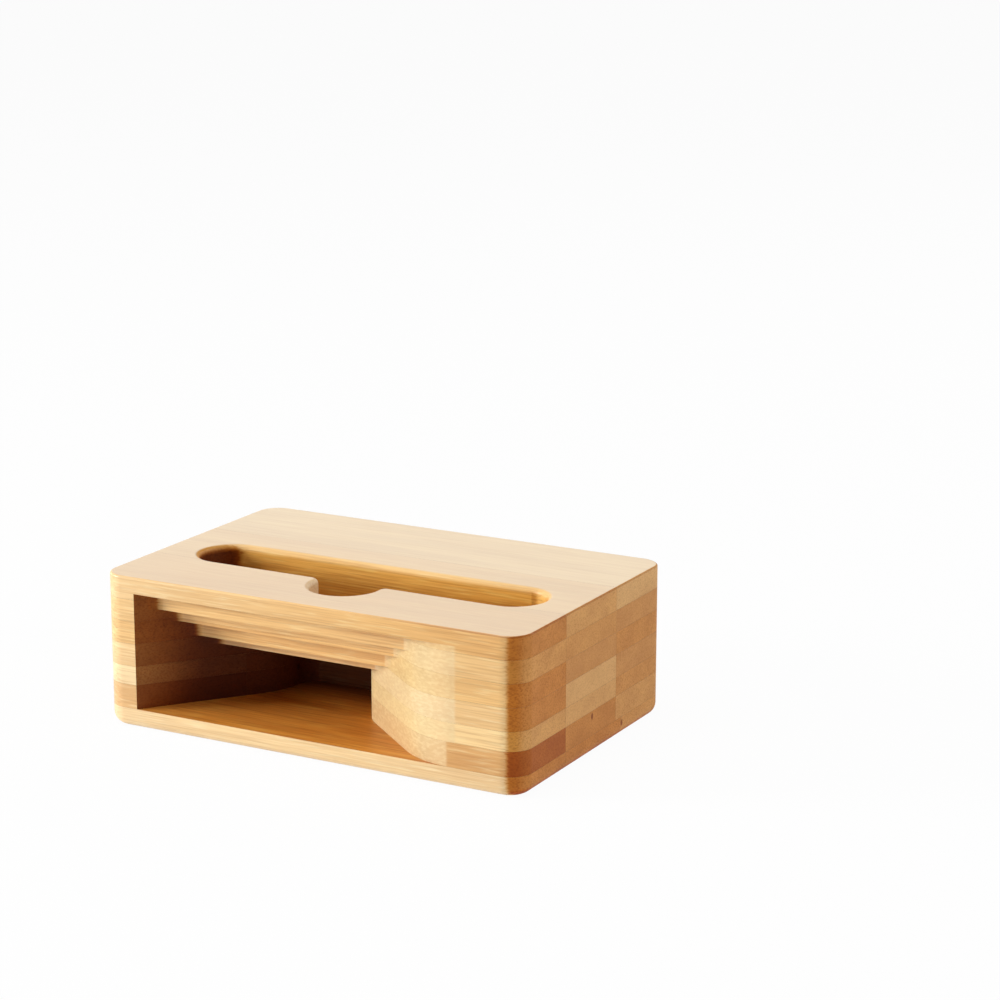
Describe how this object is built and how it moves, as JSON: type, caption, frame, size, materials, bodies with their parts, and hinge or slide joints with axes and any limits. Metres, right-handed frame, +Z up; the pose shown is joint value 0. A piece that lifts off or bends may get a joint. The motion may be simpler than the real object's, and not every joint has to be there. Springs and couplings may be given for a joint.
{
  "type": "phone stand amplifier",
  "caption": "Laminated bamboo block that holds a phone in a top slot and leads its sound out through a stepped, flared horn in the front.",
  "frame": {"origin": "centre of the resting face, on the surface that the block stands on", "axes": "+X along the width, to the right seen from the front; -Y towards the listener, where the horn opens; +Z up"},
  "size_m": [0.12, 0.0784, 0.04],
  "materials": {
    "bamboo_pale": "satin lacquer",
    "bamboo_cream": "satin lacquer",
    "bamboo_honey": "satin lacquer",
    "bamboo_golden": "satin lacquer",
    "bamboo_caramel": "satin lacquer"
  },
  "bodies": {
    "root": {"base_front_strip": "bamboo_cream", "base_middle_strip": "bamboo_cream", "base_rear_strip": "bamboo_pale", "layer_2_front_left_strip": "bamboo_caramel", "layer_2_front_right_strip": "bamboo_caramel", "layer_2_middle_strip": "bamboo_honey", "layer_2_rear_strip": "bamboo_cream", "layer_3_front_left_strip": "bamboo_pale", "layer_3_front_right_strip": "bamboo_pale", "layer_3_middle_strip": "bamboo_cream", "layer_3_rear_strip": "bamboo_honey", "layer_4_front_strip": "bamboo_honey", "layer_4_middle_strip": "bamboo_cream", "layer_4_rear_strip": "bamboo_golden", "layer_5_front_strip": "bamboo_cream", "layer_5_middle_strip": "bamboo_golden", "layer_5_rear_strip": "bamboo_honey", "layer_6_front_strip": "bamboo_cream", "layer_6_middle_strip": "bamboo_honey", "layer_6_rear_strip": "bamboo_golden", "layer_7_front_strip": "bamboo_honey", "layer_7_middle_strip": "bamboo_cream", "layer_7_rear_strip": "bamboo_pale"}
  },
  "joints": []
}
